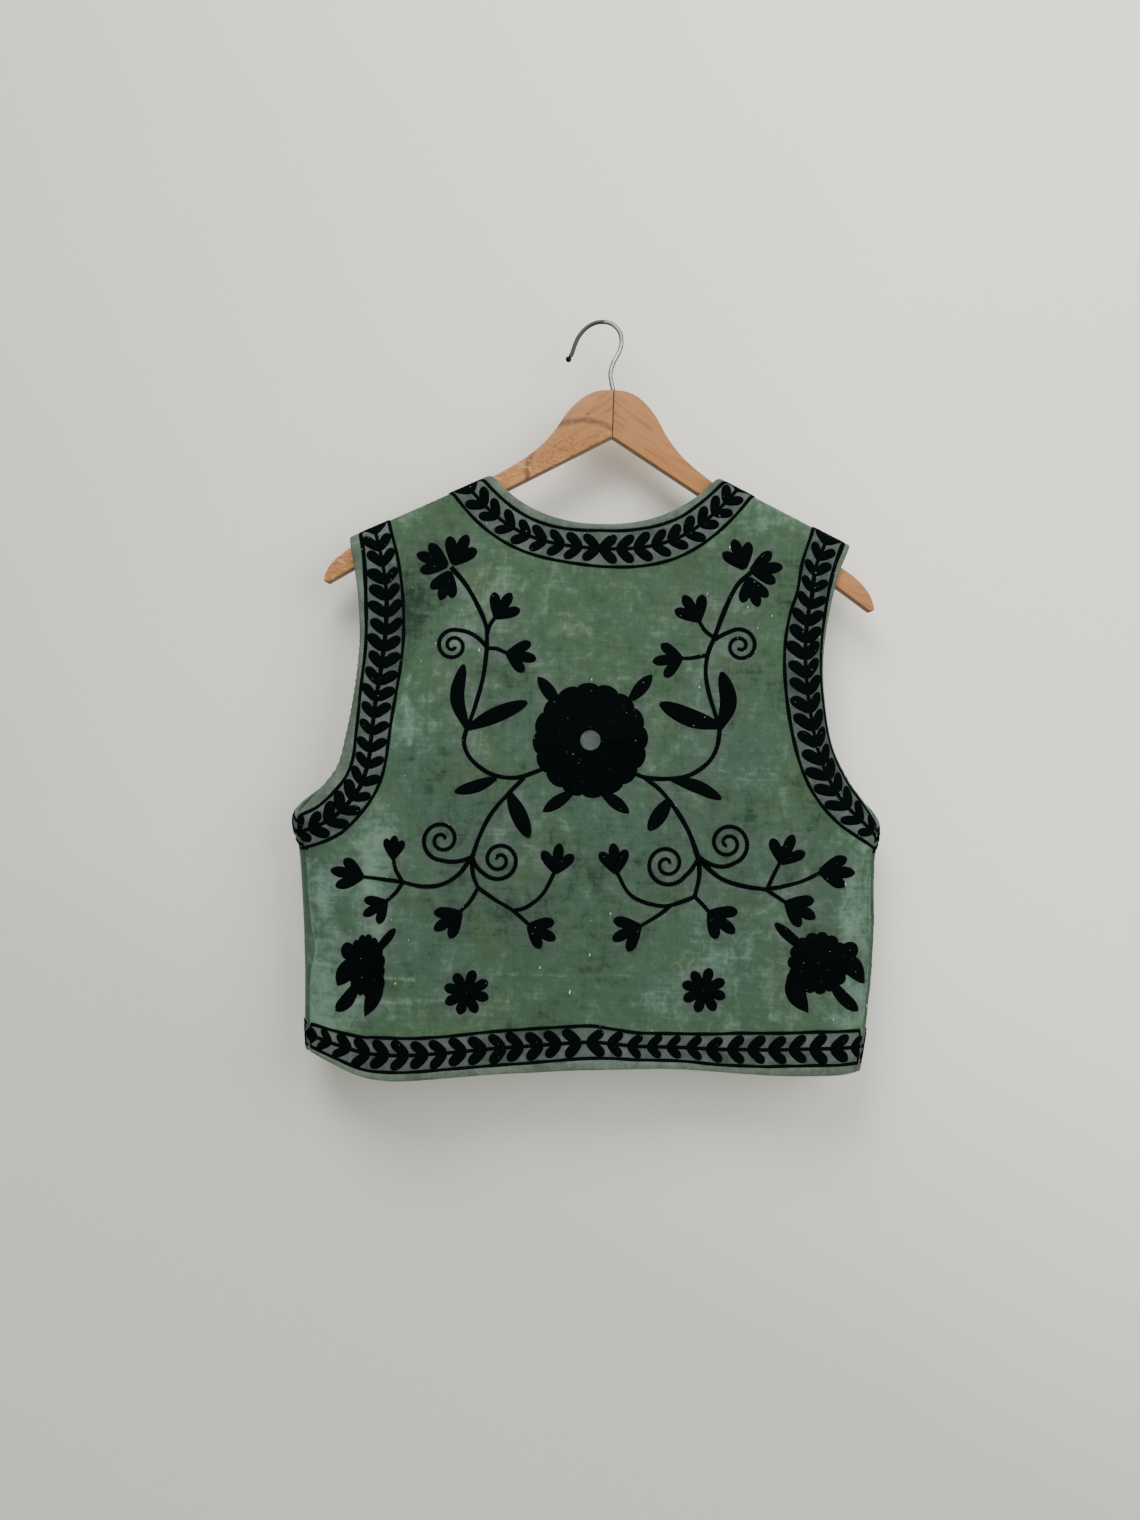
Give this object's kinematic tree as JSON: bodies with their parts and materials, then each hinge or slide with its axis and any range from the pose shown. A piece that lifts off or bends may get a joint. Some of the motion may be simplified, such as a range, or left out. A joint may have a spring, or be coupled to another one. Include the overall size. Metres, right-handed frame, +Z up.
{
  "type": "embroidered folk vest on wooden clothes hanger",
  "caption": "Cropped sleeveless velvet vest with thick chain-stitch vines, open down the front, hanging flat on a two-arm wooden hanger with a bent wire hook.",
  "frame": {"origin": "Underside of the crown of the hook, where a nail, peg or rod carries the hanger.", "axes": "+Z up, -Y out of the vest's back, +Y out of its open front, +X to the right as the back is seen."},
  "size_m": [0.4713, 0.0582, 0.6111],
  "materials": {
    "velvet": "sage green cotton velvet with a soft nap",
    "velvet_binding": "paler folded velvet strip",
    "embroidery_thread": "near-black chain stitch",
    "hanger_wood": "worn clear varnish",
    "hook_steel": "dull plated wire",
    "hook_dark_end": "darkened steel"
  },
  "bodies": {
    "root": {"back_panel": "velvet", "front_left_panel": "velvet", "front_right_panel": "velvet", "neck_binding": "velvet_binding", "hem_binding": "velvet_binding", "armhole_binding_left": "velvet_binding", "armhole_binding_right": "velvet_binding", "hanger_arm_left": "hanger_wood", "hanger_arm_right": "hanger_wood", "hook_wire": "hook_steel", "hook_ball": "hook_dark_end"}
  },
  "joints": []
}
